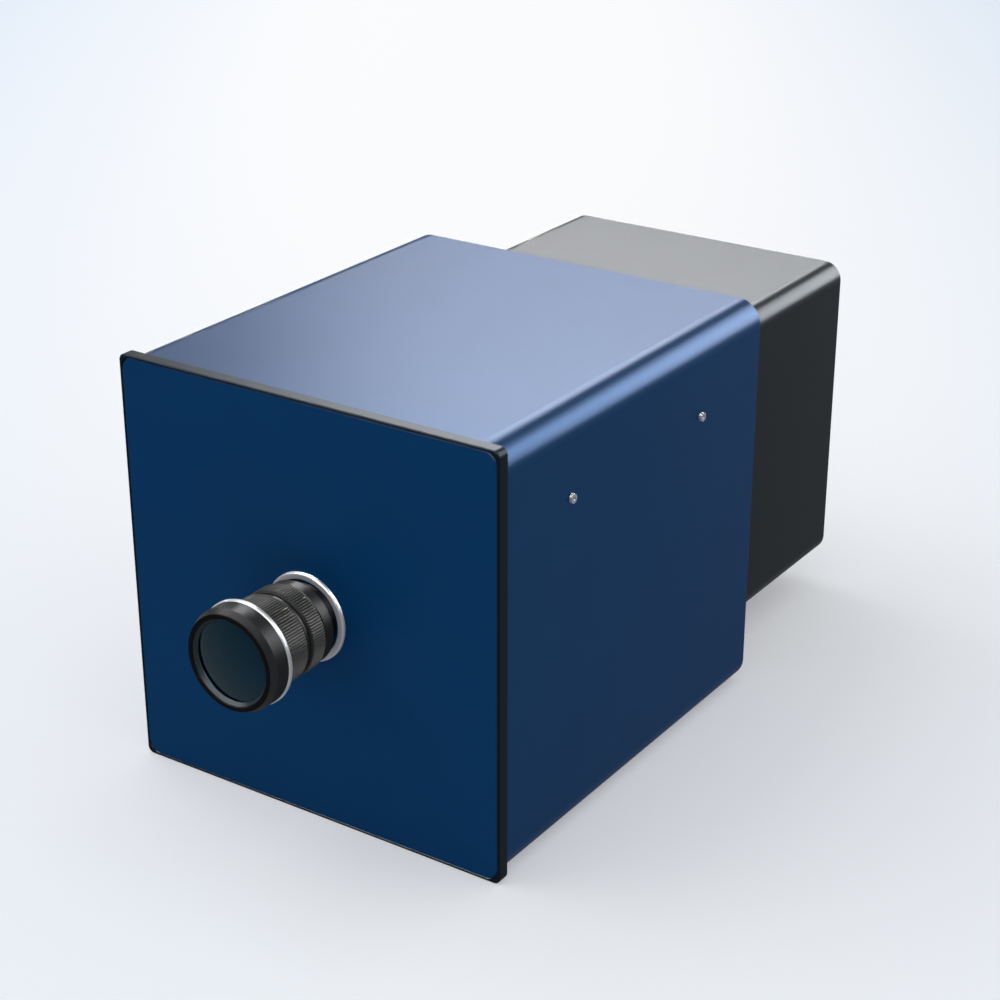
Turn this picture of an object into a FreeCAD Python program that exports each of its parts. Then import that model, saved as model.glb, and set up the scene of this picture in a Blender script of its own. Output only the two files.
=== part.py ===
import FreeCAD, Part
import math
import operator
import os
from types import SimpleNamespace

import Sketcher
from FreeCAD import Placement, Rotation, Vector

# A hyperspectral camera: a lens, a blue housing with a scanning spectrograph and a black electronics housing
# behind it, all on one optical axis.
# Frame: +Z up, the lens looks along -Y, origin at the tripod thread on the underside.

# Driving dimensions in millimetres. A depth is measured from the front face towards the back, a reach from
# the front face towards the scene.
DRIVING = {
    # whole camera
    "front_face_y": -110.0,
    "axis_height": 90.0,
    "overrun": 1.0,
    "seat_gap": 0.2,
    # front frame and panel
    "frame_side": 180.0,
    "frame_depth": 5.25,
    "frame_corner": 3.0,
    "frame_edge": 0.4,
    "frame_window": 120.0,
    "panel_side": 177.4,
    "panel_corner": 4.3,
    "panel_front_corner": 6.2,
    "panel_thick": 1.8,
    "panel_bore": 14.2,
    # trim ring on the panel
    "trim_inner": 16.0,
    "trim_outer": 18.7,
    "trim_reach": 1.3,
    "trim_round": 0.5,
    # blue housing and bulkhead
    "housing_side": 179.4,
    "housing_end": 196.0,
    "housing_corner": 10.8,
    "housing_wall": 3.0,
    "bulkhead_thick": 6.0,
    "bulkhead_window": 118.0,
    # tie rods and their screws
    "tie_offset": 79.5,
    "tie_radius": 4.5,
    "tie_tap": 1.65,
    "tie_tap_depth": 14.0,
    "clear_hole": 2.2,
    "sunk_head": 3.8,
    "sunk_depth": 1.8,
    "shank_radius": 1.6,
    "shank_length": 12.0,
    "cap_head": 3.5,
    "cap_height": 2.4,
    "cap_key": 1.44,
    # side screws and the rails that they hold
    "side_screw_front": 48.6,
    "side_screw_back": 147.1,
    "side_screw_height": 144.5,
    "side_head": 1.9,
    "side_head_height": 1.2,
    "side_key": 0.9,
    "side_shank": 1.0,
    "side_tap": 1.05,
    "side_hole": 1.2,
    "rail_width": 10.0,
    "rail_height": 12.0,
    "rail_front": 30.0,
    "rail_back": 170.0,
    # rear housing
    "rear_side": 147.0,
    "rear_end": 307.75,
    "rear_corner": 8.3,
    "rear_wall": 2.5,
    "rear_tie_offset": 64.5,
    "rear_tie_stub": 2.15,
    "panel_back_thick": 3.0,
    "panel_back_inset": 0.5,
    "vent_width": 3.0,
    "vent_length": 50.0,
    "vent_pitch": 8.0,
    # fan
    "fan_side": 60.0,
    "fan_depth": 15.0,
    "fan_corner": 4.0,
    "fan_bore": 28.5,
    "fan_hole_offset": 25.0,
    "fan_rise": 27.0,
    "fan_hub": 12.5,
    "fan_hub_depth": 10.6,
    "fan_tip": 27.6,
    "fan_blade_chord": 12.0,
    "fan_blade_thick": 1.3,
    "fan_root_pitch": 50.0,
    "fan_tip_pitch": 32.0,
    "fan_strut": 3.0,
    "fan_cap": 3.0,
    "fan_base_depth": 3.0,
    "fan_axle": 2.0,
    "guard_thick": 1.2,
    "guard_hub": 9.0,
    "guard_ring": 1.8,
    "guard_slot": 3.1,
    # sockets, button and lamp on the rear panel
    "socket_row": 48.0,
    "socket_pitch": 27.0,
    "socket_flange": 9.0,
    "socket_flange_thick": 2.2,
    "socket_thread": 6.0,
    "socket_reach": 9.0,
    "socket_insert": 4.6,
    "socket_pin_circle": 2.6,
    "socket_pin": 0.5,
    "socket_tail": 12.0,
    "bezel_radius": 9.5,
    "bezel_reach": 2.4,
    "bezel_bore": 6.5,
    "bezel_tail": 14.0,
    "bezel_thread": 7.9,
    "button_gap": 0.08,
    "button_proud": 1.5,
    "button_depth": 8.0,
    "lamp_radius": 2.4,
    "lamp_bezel": 4.0,
    # boards
    "board_thick": 1.6,
    "control_half_width": 72.0,
    "power_half_width": 45.0,
    "power_front": 212.0,
    "power_back": 280.0,
    "standoff": 6.0,
    "standoff_radius": 3.0,
    # base plate and its threads
    "base_half_width": 70.0,
    "base_front": 28.0,
    "base_back": 186.0,
    "base_thick": 10.0,
    "pad_half_width": 50.0,
    "pad_front": 40.0,
    "pad_back": 180.0,
    "bolt_spacing_across": 80.0,
    "bolt_spacing_along": 100.0,
    "bolt_tap": 2.5,
    "tripod_tap": 3.97,
    "thread_depth": 11.0,
    # scanning stage
    "support_inner": 58.0,
    "support_thick": 8.0,
    "support_front": 46.0,
    "support_back": 144.0,
    "support_height": 29.0,
    "slide_rise": 20.7,
    "slide_front": 60.0,
    "slide_back": 130.0,
    "slide_radius": 4.0,
    "press_gap": 0.02,
    "running_gap": 0.05,
    "screw_depth": 95.0,
    "screw_radius": 3.0,
    "motor_side": 35.0,
    "motor_length": 20.0,
    "motor_corner": 4.0,
    "carriage_half_width": 42.0,
    "carriage_front": 48.0,
    "carriage_back": 142.0,
    "carriage_clear": 10.0,
    "carriage_thick": 8.0,
    "bearing_length": 22.0,
    "bearing_half": 9.0,
    "nut_half": 10.0,
    # spectrograph
    "spectro_side": 56.0,
    "spectro_corner": 3.0,
    "spectro_front": 20.0,
    "spectro_back": 130.0,
    "spectro_bore": 22.0,
    "glass_gap": 0.1,
    "slit_nose": 11.5,
    "slit_nose_radius": 12.0,
    "slit_flange": 26.0,
    "slit_flange_depth": 14.0,
    "slit_cell": 8.0,
    "slit_plate_thick": 0.5,
    "slit_length": 10.0,
    "slit_width": 0.2,
    "collimator_depth": 38.0,
    "collimator_thick": 10.0,
    "collimator_curve": 60.0,
    "grating_depth": 66.0,
    "grating_thick": 22.0,
    "grating_tilt": 12.0,
    "imager_depth": 104.0,
    "imager_thick": 12.0,
    "imager_curve": 48.0,
    # detector
    "detector_side": 62.0,
    "detector_back": 184.0,
    "detector_well": 44.0,
    "detector_well_depth": 14.0,
    "sensor_side": 26.0,
    "sensor_thick": 4.0,
    "sensor_pane": 16.0,
    "sink_base": 4.0,
    "sink_fin": 16.0,
    "fin_thick": 1.6,
    # lens mount plate and boss
    "mount_side": 144.0,
    "mount_thick": 4.0,
    "boss_reach": 5.0,
    "boss_radius": 13.9,
    "boss_bore": 12.7,
    # fixed lens barrel
    "spigot_radius": 12.6,
    "spigot_reach": 1.0,
    "rear_bore": 10.9,
    "band_radius": 17.4,
    "band_end": 10.2,
    "tube_radius": 14.5,
    "tube_end": 32.8,
    "tube_bore": 12.45,
    "stop_start": 11.0,
    "stop_end": 12.5,
    "stop_radius": 8.6,
    "lens_edge": 0.4,
    # rings
    "ring_bore": 14.56,
    "ring_radius": 18.2,
    "ring_edge": 0.5,
    "iris_start": 10.4,
    "iris_end": 18.8,
    "collar_start": 19.0,
    "collar_end": 20.9,
    "collar_radius": 17.0,
    "collar_mark": 0.7,
    "focus_start": 21.1,
    "focus_end": 33.0,
    "knurl_depth": 0.55,
    # iris
    "cam_inner": 11.2,
    "cam_outer": 12.3,
    "cam_start": 16.0,
    "cam_end": 17.2,
    "cam_pin": 0.5,
    "cam_slot_start": 15.9,
    "cam_slot_end": 17.3,
    "cam_slot_angle": 90.0,
    "cam_slot_margin": 10.0,
    "blade_inner": 8.9,
    "blade_outer": 12.0,
    "blade_span": 52.0,
    "blade_heel": 4.8,
    "blade_thick": 0.2,
    "blade_level": 0.5,
    "blade_pivot": 10.7,
    "blade_pin": 0.4,
    # sliding front barrel
    "tail_start": 20.5,
    "tail_radius": 12.39,
    "tail_bore": 11.0,
    "shoulder_start": 34.9,
    "shoulder_radius": 15.5,
    "accent_start": 34.9,
    "accent_end": 36.9,
    "accent_radius": 21.5,
    "nose_radius": 21.05,
    "nose_bevel_start": 43.3,
    "nose_end": 46.5,
    "nose_face": 19.6,
    "cone_start": 34.5,
    "cone_radius": 15.0,
    "glass_seat": 38.4,
    "glass_radius": 17.3,
    "glass_end": 44.4,
    "glass_crown": 1.15,
    "glass_curve": 120.0,
    "retainer_radius": 18.0,
    "retainer_inner": 16.6,
    "retainer_lip": 0.25,
    "retainer_end": 46.2,
    "rear_glass_start": 2.0,
    "rear_glass_end": 10.0,
    "rear_glass_curve": 26.0,
}

KNURL_TEETH = 100
IRIS_BLADES = 6
FAN_BLADES = 7
CORNERS = [(-1, -1), (1, -1), (1, 1), (-1, 1)]
SIDES = (-1, 1)

OPERATIONS = {"+": operator.add, "-": operator.sub, "*": operator.mul, "/": operator.truediv}


class Size:
    """A length in millimetres that carries the spreadsheet expression it comes from."""

    def __init__(self, value, text=None):
        self.value = float(value)
        self.text = text or f"({self.value!r})"

    def joined(self, sign, other, swapped=False):
        other = as_size(other)
        first, second = (other, self) if swapped else (self, other)
        value = OPERATIONS[sign](first.value, second.value)
        return Size(value, f"({first.text} {sign} {second.text})")

    def __add__(self, other):
        return self.joined("+", other)

    def __radd__(self, other):
        return self.joined("+", other, swapped=True)

    def __sub__(self, other):
        return self.joined("-", other)

    def __rsub__(self, other):
        return self.joined("-", other, swapped=True)

    def __mul__(self, other):
        return self.joined("*", other)

    def __rmul__(self, other):
        return self.joined("*", other, swapped=True)

    def __truediv__(self, other):
        return self.joined("/", other)


def as_size(value):
    return value if isinstance(value, Size) else Size(value)


doc = FreeCAD.newDocument("hyperspectral_camera")
sheet = doc.addObject("Spreadsheet::Sheet", "Sizes")
D = SimpleNamespace()
for row, (alias, number) in enumerate(DRIVING.items(), start=1):
    sheet.set(f"A{row}", alias)
    sheet.set(f"B{row}", str(number))
    sheet.setAlias(f"B{row}", alias)
    setattr(D, alias, Size(number, f"Sizes.{alias}"))
doc.recompute()


# Helpers that make one bound object each

TURNS = {
    "x": Rotation(Vector(0, 1, 0), 90),
    "y": Rotation(Vector(1, 0, 0), -90),
    "z": Rotation(),
    "front": Rotation(Vector(0, 0, 1), 180),
    "back": Rotation(),
}


def bind(item, **sizes):
    """Ties properties of an object to spreadsheet expressions."""
    for name, size in sizes.items():
        item.setExpression(name, as_size(size).text)


def place(item, base, turn="z"):
    """Gives an object its turn and ties its position to the spreadsheet."""
    rotation = TURNS[turn] if isinstance(turn, str) else turn
    item.Placement = Placement(Vector(), rotation)
    for letter, size in zip("xyz", base):
        item.setExpression(f"Placement.Base.{letter}", as_size(size).text)


def block(name, low, high):
    """A box between two corners."""
    item = doc.addObject("Part::Box", name)
    length, width, height = (as_size(top) - bottom for bottom, top in zip(low, high))
    bind(item, Length=length, Width=width, Height=height)
    place(item, low)
    return item


def rod(name, radius, length, start, along):
    """A cylinder that starts at a point and runs along an axis."""
    item = doc.addObject("Part::Cylinder", name)
    bind(item, Radius=radius, Height=length)
    place(item, start, along)
    return item


def cone(name, first_radius, last_radius, length, start, along):
    item = doc.addObject("Part::Cone", name)
    bind(item, Radius1=first_radius, Radius2=last_radius, Height=length)
    place(item, start, along)
    return item


def hexagon(name, radius, length, start, along):
    item = doc.addObject("Part::Prism", name)
    item.Polygon = 6
    bind(item, Circumradius=radius, Height=length)
    place(item, start, along)
    return item


def fused(name, pieces):
    item = doc.addObject("Part::MultiFuse", name)
    item.Shapes = pieces
    return item


def shared(name, pieces):
    item = doc.addObject("Part::MultiCommon", name)
    item.Shapes = pieces
    return item


def grouped(name, pieces):
    """Separate solids of one kind that share a name."""
    item = doc.addObject("Part::Compound", name)
    item.Links = pieces
    return item


def less(name, base, cutters):
    item = doc.addObject("Part::Cut", name)
    item.Base = base
    item.Tool = cutters[0] if len(cutters) == 1 else fused(f"{name}_cutters", cutters)
    return item


def outline(body, name, points):
    """A closed sketch of straight runs whose corners are tied to the spreadsheet."""
    sketch = body.newObject("Sketcher::SketchObject", name)
    support = next(plane for plane in body.Origin.OriginFeatures if plane.Role == "XY_Plane")
    sketch.AttachmentSupport = [(support, "")]
    sketch.MapMode = "FlatFace"
    corners = [(as_size(across), as_size(along)) for across, along in points]
    count = len(corners)
    spots = [Vector(across.value, along.value, 0) for across, along in corners]
    for index in range(count):
        sketch.addGeometry(Part.LineSegment(spots[index], spots[(index + 1) % count]), False)
    for index in range(count):
        sketch.addConstraint(Sketcher.Constraint("Coincident", index, 2, (index + 1) % count, 1))
    for index, corner in enumerate(corners):
        for kind, size in zip(("DistanceX", "DistanceY"), corner):
            number = sketch.addConstraint(Sketcher.Constraint(kind, -1, 1, index, 1, size.value))
            sketch.setExpression(f"Constraints[{number}]", size.text)
    return sketch


def edge_names(shape, wanted):
    """Names of the edges whose two ends both pass a test."""
    names = []
    for index, edge in enumerate(shape.Edges, start=1):
        ends = [vertex.Point for vertex in edge.Vertexes]
        if len(ends) == 2 and wanted(*ends):
            names.append(f"Edge{index}")
    return names


def slab(name, width, height, depth, base, corner, along="y", near_edge=None):
    """A plate with rounded corners, placed by the middle of its near face, which can have a bevelled edge."""
    body = doc.addObject("PartDesign::Body", name)
    half_width = as_size(width) / 2
    half_height = as_size(height) / 2
    points = [(side * half_width, rise * half_height) for side, rise in CORNERS]
    pad = body.newObject("PartDesign::Pad", f"{name}_pad")
    pad.Profile = outline(body, f"{name}_outline", points)
    bind(pad, Length=depth)
    doc.recompute()
    uprights = edge_names(pad.Shape, lambda start, end: abs(start.z - end.z) > 1e-6)
    rounds = body.newObject("PartDesign::Fillet", f"{name}_rounds")
    rounds.Base = (pad, uprights)
    bind(rounds, Radius=corner)
    if near_edge is not None:
        doc.recompute()
        rim = edge_names(rounds.Shape, lambda start, end: max(abs(start.z), abs(end.z)) < 1e-6)
        bevel = body.newObject("PartDesign::Chamfer", f"{name}_bevel")
        bevel.Base = (rounds, rim)
        bind(bevel, Size=near_edge)
    place(body, base, along)
    return body


def turned(name, points, base, facing):
    """A turned piece: points are radius and reach, spun about the axis that faces the front or the back."""
    body = doc.addObject("PartDesign::Body", name)
    sketch = outline(body, f"{name}_section", points)
    spin = body.newObject("PartDesign::Revolution", f"{name}_spin")
    spin.Profile = sketch
    spin.ReferenceAxis = (sketch, ["V_Axis"])
    spin.Angle = 360
    place(body, base, facing)
    return body


def deep(depth):
    """The Y of a plane at some depth behind the front face."""
    return D.front_face_y + depth


def ahead(reach):
    """The Y of a plane that stands some reach in front of the front face."""
    return D.front_face_y - reach


def on_axis(depth):
    """A point of the optical axis."""
    return (0, deep(depth), D.axis_height)


def four_spots(offset, depth, rise=0):
    """Four points round the optical axis, one in each quarter."""
    return [(side * offset, deep(depth), D.axis_height + rise + up * offset) for side, up in CORNERS]


def drilled(name, radius, length, starts, along):
    """A set of equal rods, such as the drills for a row of holes."""
    numbered = enumerate(starts, start=1)
    return [rod(f"{name}_{index}", radius, length, start, along) for index, start in numbered]


def cap_screw(name, head, height, key, shank, length, seat, along, way):
    """A socket-head screw whose head stands off the seat the given way along the axis."""
    axis = "xyz".index(along)

    def shifted(amount):
        spot = list(seat)
        spot[axis] = as_size(spot[axis]) + amount
        return spot

    head_start = shifted(0) if way > 0 else shifted(-1 * as_size(height))
    shank_start = shifted(-1 * as_size(length)) if way > 0 else shifted(0)
    key_start = shifted(height / 2) if way > 0 else shifted(-1 * as_size(height) - D.overrun)
    pieces = [
        rod(f"{name}_head", head, height, head_start, along),
        rod(f"{name}_shank", shank, length, shank_start, along),
    ]
    key_hole = hexagon(f"{name}_key", key, height / 2 + D.overrun, key_start, along)
    return less(name, fused(f"{name}_blank", pieces), [key_hole])


# Front frame, blue panel and trim ring

# A crescent between two corner arcs is this share of their radius difference wide, on the diagonal.
CRESCENT_SHARE = 0.42
PANEL_SEAT = D.panel_thick + D.seat_gap
RECESS_SIDE = D.panel_side + 2 * D.seat_gap


def front_frame():
    plate = slab("frame_plate", D.frame_side, D.frame_side, D.frame_depth, on_axis(0), D.frame_corner,
                 near_edge=D.frame_edge)
    recess = slab("frame_recess", RECESS_SIDE, RECESS_SIDE, PANEL_SEAT + D.overrun, on_axis(-1 * D.overrun),
                  D.panel_corner + D.seat_gap)
    window = slab("frame_opening", D.frame_window, D.frame_window, D.frame_depth + 2 * D.overrun,
                  on_axis(-1 * D.overrun), D.housing_corner)
    spots = four_spots(D.tie_offset, PANEL_SEAT)
    holes = drilled("frame_hole", D.clear_hole, D.frame_depth, spots, "y")
    sinks = [
        cone(f"frame_sink_{index}", D.sunk_head + D.seat_gap, D.clear_hole, D.sunk_depth, spot, "y")
        for index, spot in enumerate(spots, start=1)
    ]
    return less("front_frame", plate, [recess, window] + holes + sinks)


def panel_corner_cutter(name, side, up):
    """What a crescent bevel takes off one corner of the panel: a block less a cone that widens inwards."""
    radius = D.panel_front_corner
    depth = (radius - D.panel_corner) * CRESCENT_SHARE
    inset = D.panel_side / 2 - radius
    reach = radius + D.overrun
    front = D.seat_gap - D.overrun
    centre_x = side * inset
    centre_z = D.axis_height + up * inset
    low_x = centre_x if side > 0 else centre_x - reach
    low_z = centre_z if up > 0 else centre_z - reach
    corner = block(f"{name}_block", (low_x, deep(front), low_z),
                   (low_x + reach, deep(D.seat_gap + depth), low_z + reach))
    core = cone(f"{name}_core", radius - D.overrun, radius + depth, D.overrun + depth,
                (centre_x, deep(front), centre_z), "y")
    return less(name, corner, [core])


def front_panel():
    """A flat plate with square-cut sides and a crescent bevel at each corner."""
    plate = slab("panel_plate", D.panel_side, D.panel_side, D.panel_thick, on_axis(D.seat_gap),
                 D.panel_corner)
    bore = rod("panel_hole", D.panel_bore, D.panel_thick + 2 * D.overrun, on_axis(-1 * D.overrun), "y")
    corners = [
        panel_corner_cutter(f"panel_corner_{index}", side, up)
        for index, (side, up) in enumerate(CORNERS, start=1)
    ]
    return less("front_panel", plate, [bore] + corners)


def lens_trim_ring():
    seat = -1 * D.seat_gap
    points = [
        (D.trim_inner, seat),
        (D.trim_outer, seat),
        (D.trim_outer, D.trim_reach - D.trim_round),
        (D.trim_outer - D.trim_round, D.trim_reach),
        (D.trim_inner + D.trim_round / 2, D.trim_reach),
        (D.trim_inner, D.trim_reach - D.trim_round / 2),
    ]
    return turned("lens_trim_ring", points, on_axis(0), "front")


def front_screws():
    screws = []
    for index, spot in enumerate(four_spots(D.tie_offset, PANEL_SEAT), start=1):
        head = cone(f"front_screw_head_{index}", D.sunk_head, D.shank_radius, D.sunk_depth, spot, "y")
        shank = rod(f"front_screw_shank_{index}", D.shank_radius, D.shank_length, spot, "y")
        screws.append(fused(f"front_screw_{index}", [head, shank]))
    return grouped("front_screws", screws)


# Blue housing, bulkhead and tie rods

HOUSING_INNER = D.housing_side - 2 * D.housing_wall
INNER_CORNER = D.housing_corner - D.housing_wall
INNER_HALF = HOUSING_INNER / 2
HOUSING_FLOOR = D.axis_height - INNER_HALF
BULKHEAD_FRONT = D.housing_end - D.bulkhead_thick
SIDE_SCREW_DEPTHS = (D.side_screw_front, D.side_screw_back)


def main_housing():
    length = D.housing_end - D.frame_depth
    outer = slab("housing_outer", D.housing_side, D.housing_side, length, on_axis(D.frame_depth),
                 D.housing_corner)
    inner = slab("housing_inner", HOUSING_INNER, HOUSING_INNER, length + 2 * D.overrun,
                 on_axis(D.frame_depth - D.overrun), INNER_CORNER)
    gap = 2 * D.seat_gap
    pad_window = block("pad_window",
                       (-1 * D.pad_half_width - gap, deep(D.pad_front - gap), -1 * D.overrun),
                       (D.pad_half_width + gap, deep(D.pad_back + gap), HOUSING_FLOOR + D.overrun))
    starts = [(-1 * D.housing_side, deep(depth), D.side_screw_height) for depth in SIDE_SCREW_DEPTHS]
    holes = drilled("side_hole", D.side_hole, 2 * D.housing_side, starts, "x")
    return less("main_housing", outer, [inner, pad_window] + holes)


def bulkhead():
    side = HOUSING_INNER - 2 * D.seat_gap
    plate = slab("bulkhead_plate", side, side, D.bulkhead_thick, on_axis(BULKHEAD_FRONT), INNER_CORNER)
    through = D.bulkhead_thick + 2 * D.overrun
    window = slab("bulkhead_opening", D.bulkhead_window, D.bulkhead_window, through,
                  on_axis(BULKHEAD_FRONT - D.overrun), D.rear_corner)
    screw_holes = drilled("bulkhead_hole", D.clear_hole, through,
                          four_spots(D.tie_offset, BULKHEAD_FRONT - D.overrun), "y")
    stub_holes = drilled("bulkhead_stub_hole", D.rear_tie_stub + D.running_gap, through,
                         four_spots(D.rear_tie_offset, BULKHEAD_FRONT - D.overrun), "y")
    return less("bulkhead", plate, [window] + screw_holes + stub_holes)


def tie_rods():
    front_ends = four_spots(D.tie_offset, D.frame_depth)
    back_taps = four_spots(D.tie_offset, BULKHEAD_FRONT - D.tie_tap_depth)
    bars = drilled("tie_bar", D.tie_radius, BULKHEAD_FRONT - D.frame_depth, front_ends, "y")
    fronts = drilled("tie_front_tap", D.tie_tap, D.tie_tap_depth, front_ends, "y")
    backs = drilled("tie_back_tap", D.tie_tap, D.tie_tap_depth, back_taps, "y")
    rods = []
    for index, (bar, front, back) in enumerate(zip(bars, fronts, backs), start=1):
        rods.append(less(f"tie_rod_{index}", bar, [front, back]))
    return grouped("tie_rods", rods)


def screw_set(name, head, height, key, shank, length, seats, along, way=1):
    screws = [
        cap_screw(f"{name}_{index}", head, height, key, shank, length, seat, along, way)
        for index, seat in enumerate(seats, start=1)
    ]
    return grouped(name, screws)


def bulkhead_screws():
    return screw_set("bulkhead_screws", D.cap_head, D.cap_height, D.cap_key, D.shank_radius,
                     D.shank_length, four_spots(D.tie_offset, D.housing_end), "y")


# Side rails, their screws and the controller board

RAIL_BOTTOM = D.side_screw_height - D.rail_height / 2
RAIL_TOP = D.side_screw_height + D.rail_height / 2


def side_rails():
    rails = []
    for side, word in zip(SIDES, ("left", "right")):
        near = INNER_HALF - D.rail_width if side > 0 else -1 * INNER_HALF
        bar = block(f"side_bar_{word}", (near, deep(D.rail_front), RAIL_BOTTOM),
                    (near + D.rail_width, deep(D.rail_back), RAIL_TOP))
        starts = [(near - D.overrun, deep(depth), D.side_screw_height) for depth in SIDE_SCREW_DEPTHS]
        taps = drilled(f"side_tap_{word}", D.side_tap, D.rail_width + 2 * D.overrun, starts, "x")
        rails.append(less(f"side_rail_{word}", bar, taps))
    return grouped("side_rails", rails)


def side_screws():
    screws = []
    for side, word in zip(SIDES, ("left", "right")):
        for index, depth in enumerate(SIDE_SCREW_DEPTHS, start=1):
            seat = (side * D.housing_side / 2, deep(depth), D.side_screw_height)
            screw = cap_screw(f"side_screw_{word}_{index}", D.side_head, D.side_head_height, D.side_key,
                              D.side_shank, D.shank_length, seat, "x", side)
            screws.append(screw)
    return grouped("side_screws", screws)


def populated_board(name, low, high, parts):
    """A circuit board and its parts, each at a fraction of the two sides, with a half size and a height."""
    board = block(f"{name}_sheet", low, high)
    pieces = [board]
    for index, (across, along, half, height) in enumerate(parts, start=1):
        middle_x = as_size(low[0]) + across * (as_size(high[0]) - low[0])
        middle_y = as_size(low[1]) + along * (as_size(high[1]) - low[1])
        pieces.append(block(f"{name}_part_{index}", (middle_x - half, middle_y - half, high[2]),
                            (middle_x + half, middle_y + half, as_size(high[2]) + height)))
    return fused(name, pieces)


def controller_board():
    shelf = D.control_half_width + D.rail_width
    low = (-1 * shelf, deep(D.rail_front), RAIL_TOP)
    high = (shelf, deep(D.rail_back), RAIL_TOP + D.board_thick)
    processor = (0.5, 0.5, 15.0, 3.0)
    memory = [(0.3, 0.35, 6.0, 1.5), (0.3, 0.65, 6.0, 1.5)]
    headers = [(0.85, 0.25, 5.0, 8.0), (0.85, 0.75, 5.0, 8.0)]
    return populated_board("controller_board", low, high, [processor] + memory + headers)


# Rear housing

REAR_INNER = D.rear_side - 2 * D.rear_wall
REAR_INNER_CORNER = D.rear_corner - D.rear_wall
REAR_FLOOR = D.axis_height - REAR_INNER / 2
BACK_FACE = D.rear_end - D.panel_back_inset
BACK_PANEL_FRONT = BACK_FACE - D.panel_back_thick
VENT_STEPS = range(-4, 5)


def rear_housing():
    length = D.rear_end - D.housing_end
    outer = slab("rear_outer", D.rear_side, D.rear_side, length, on_axis(D.housing_end), D.rear_corner)
    inner = slab("rear_inner", REAR_INNER, REAR_INNER, length + 2 * D.overrun,
                 on_axis(D.housing_end - D.overrun), REAR_INNER_CORNER)
    vents = []
    middle = (D.housing_end + D.rear_end) / 2
    for step in VENT_STEPS:
        left = step * D.vent_pitch - D.vent_width / 2
        vents.append(block(f"vent_{step + len(VENT_STEPS)}",
                           (left, deep(middle - D.vent_length / 2), REAR_FLOOR - D.rear_wall - D.overrun),
                           (left + D.vent_width, deep(middle + D.vent_length / 2), REAR_FLOOR + D.overrun)))
    return less("rear_housing", outer, [inner] + vents)


def rear_tie_rods():
    bars = drilled("rear_bar", D.tie_radius, BACK_PANEL_FRONT - D.housing_end,
                   four_spots(D.rear_tie_offset, D.housing_end), "y")
    stubs = drilled("rear_stub", D.rear_tie_stub, D.bulkhead_thick,
                    four_spots(D.rear_tie_offset, BULKHEAD_FRONT), "y")
    taps = drilled("rear_tap", D.tie_tap, D.tie_tap_depth,
                   four_spots(D.rear_tie_offset, BACK_PANEL_FRONT - D.tie_tap_depth), "y")
    rods = []
    for index, (bar, stub, tap) in enumerate(zip(bars, stubs, taps), start=1):
        rods.append(less(f"rear_tie_rod_{index}", fused(f"rear_rod_blank_{index}", [bar, stub]), [tap]))
    return grouped("rear_tie_rods", rods)


def socket_spots():
    return [step * D.socket_pitch for step in (-2, -1, 0)]


BUTTON_X = 1.75 * D.socket_pitch
LAMP_X = 0.9 * D.socket_pitch
ROW_HEIGHT = D.axis_height - D.socket_row
FAN_HEIGHT = D.axis_height + D.fan_rise


def rear_panel():
    side = REAR_INNER - 2 * D.seat_gap
    plate = slab("rear_plate", side, side, D.panel_back_thick, on_axis(BACK_PANEL_FRONT), REAR_INNER_CORNER)
    start = BACK_PANEL_FRONT - D.overrun
    through = D.panel_back_thick + 2 * D.overrun
    fan_hole = rod("rear_fan_hole", D.fan_bore, through, (0, deep(start), FAN_HEIGHT), "y")
    fan_screw_holes = drilled("rear_fan_screw_hole", D.clear_hole, through,
                              four_spots(D.fan_hole_offset, start, D.fan_rise), "y")
    corner_holes = drilled("rear_screw_hole", D.clear_hole, through,
                           four_spots(D.rear_tie_offset, start), "y")
    row = [(x, D.socket_thread) for x in socket_spots()]
    row += [(BUTTON_X, D.bezel_thread), (LAMP_X, D.lamp_radius)]
    row_holes = [
        rod(f"rear_row_hole_{index}", radius + D.running_gap, through, (x, deep(start), ROW_HEIGHT), "y")
        for index, (x, radius) in enumerate(row, start=1)
    ]
    return less("rear_panel", plate, [fan_hole] + fan_screw_holes + corner_holes + row_holes)


def rear_panel_screws():
    return screw_set("rear_panel_screws", D.cap_head, D.cap_height, D.cap_key, D.shank_radius,
                     D.shank_length, four_spots(D.rear_tie_offset, BACK_FACE), "y")


# Fan

FAN_FRONT = BACK_PANEL_FRONT - D.fan_depth
FAN_MIDDLE = (0, deep(FAN_FRONT), FAN_HEIGHT)
ROTOR_FRONT = FAN_FRONT + D.fan_base_depth + 2 * D.seat_gap


def fan_frame():
    outer = slab("fan_outer", D.fan_side, D.fan_side, D.fan_depth, FAN_MIDDLE, D.fan_corner)
    start = FAN_FRONT - D.overrun
    through = D.fan_depth + 2 * D.overrun
    duct = rod("fan_duct", D.fan_bore, through, (0, deep(start), FAN_HEIGHT), "y")
    holes = drilled("fan_hole", D.clear_hole, through, four_spots(D.fan_hole_offset, start, D.fan_rise), "y")
    shell = less("fan_shell", outer, [duct] + holes)
    base = rod("fan_base", D.fan_hub, D.fan_base_depth, FAN_MIDDLE, "y")
    axle_length = D.fan_base_depth + D.fan_hub_depth - D.fan_cap
    axle = rod("fan_axle_pin", D.fan_axle, axle_length, FAN_MIDDLE, "y")
    half = D.fan_strut / 2
    reach = D.fan_bore + D.overrun
    front = FAN_MIDDLE[1]
    back = deep(FAN_FRONT + D.fan_base_depth)
    across = block("fan_strut_across", (-1 * reach, front, FAN_HEIGHT - half),
                   (reach, back, FAN_HEIGHT + half))
    upright = block("fan_strut_upright", (-1 * half, front, FAN_HEIGHT - reach),
                    (half, back, FAN_HEIGHT + reach))
    return fused("fan_frame", [shell, base, axle, across, upright])


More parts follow.
